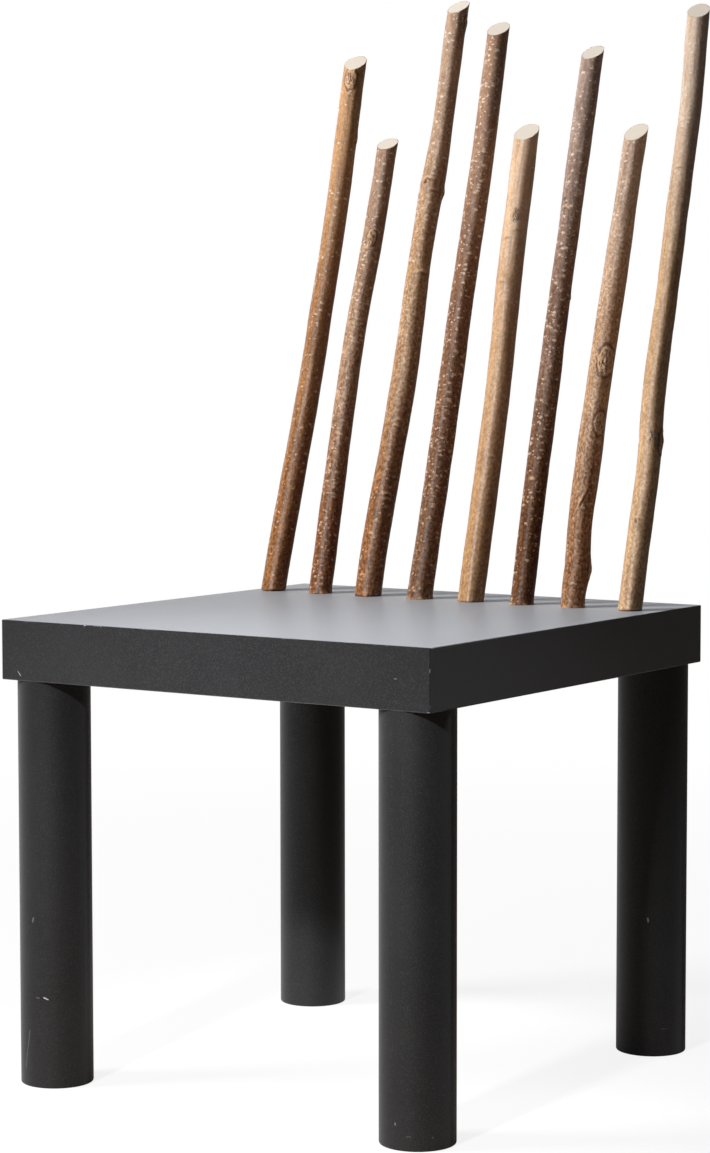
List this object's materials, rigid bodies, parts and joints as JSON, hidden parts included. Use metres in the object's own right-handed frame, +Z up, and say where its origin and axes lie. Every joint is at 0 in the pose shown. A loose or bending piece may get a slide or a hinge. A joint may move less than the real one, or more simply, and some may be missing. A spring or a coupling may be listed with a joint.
{
  "type": "side chair",
  "caption": "Side chair with a matt black slab seat on round legs and a raked back made of separate natural branches with bark.",
  "frame": {"origin": "on the floor, under the centre of the box that the chair fills", "axes": "+Z up; -Y is the way the sitter faces; +X is to the right as seen from the front"},
  "size_m": [0.486, 0.5928, 1.0767],
  "materials": {
    "black_lacquer": "matt black lacquer",
    "frame_wood": "planed, unfinished",
    "bark_tan": "natural bark",
    "bark_brown": "natural bark",
    "bark_dark": "natural bark",
    "bark_pale": "natural bark",
    "steel": "zinc plated"
  },
  "bodies": {
    "root": {"seat_top_panel": "black_lacquer", "seat_bottom_panel": "black_lacquer", "front_rail": "black_lacquer", "rear_rail": "black_lacquer", "left_rail": "black_lacquer", "right_rail": "black_lacquer", "stick_rail": "frame_wood", "left_rib": "frame_wood", "right_rib": "frame_wood", "front_left_block": "frame_wood", "front_right_block": "frame_wood", "rear_left_block": "frame_wood", "rear_right_block": "frame_wood", "corner_splines": "frame_wood", "front_left_leg": "black_lacquer", "front_right_leg": "black_lacquer", "rear_left_leg": "black_lacquer", "rear_right_leg": "black_lacquer", "leg_studs": "steel", "leg_sleeves": "steel", "stick_1": "bark_tan", "stick_2": "bark_brown", "stick_3": "bark_tan", "stick_4": "bark_dark", "stick_5": "bark_pale", "stick_6": "bark_dark", "stick_7": "bark_brown", "stick_8": "bark_pale", "stick_screws": "steel"}
  },
  "joints": []
}
